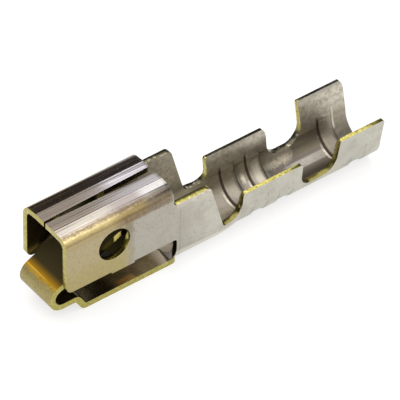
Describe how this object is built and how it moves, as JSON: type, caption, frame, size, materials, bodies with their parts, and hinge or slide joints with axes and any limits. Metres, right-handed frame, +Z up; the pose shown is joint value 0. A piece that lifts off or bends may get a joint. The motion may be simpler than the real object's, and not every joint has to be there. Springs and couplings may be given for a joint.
{
  "type": "female crimp terminal",
  "caption": "Stamped and folded sheet-metal socket contact: a box with a spring tongue at the mating end, and open conductor and insulation crimp barrels at the wire end.",
  "frame": {"origin": "centre of the bounding box in X and Y, at the height of the bottom strip's underside", "axes": "+X from the mating end to the wire end, +Y across the terminal, +Z up from the bottom strip to the roof"},
  "size_m": [0.0166, 0.0032, 0.0046],
  "materials": {
    "plated_sheet": "tin-plated brass strip, satin to bright, with bare yellow die-cut edges"
  },
  "bodies": {
    "root": {"terminal": "plated_sheet"}
  },
  "joints": []
}
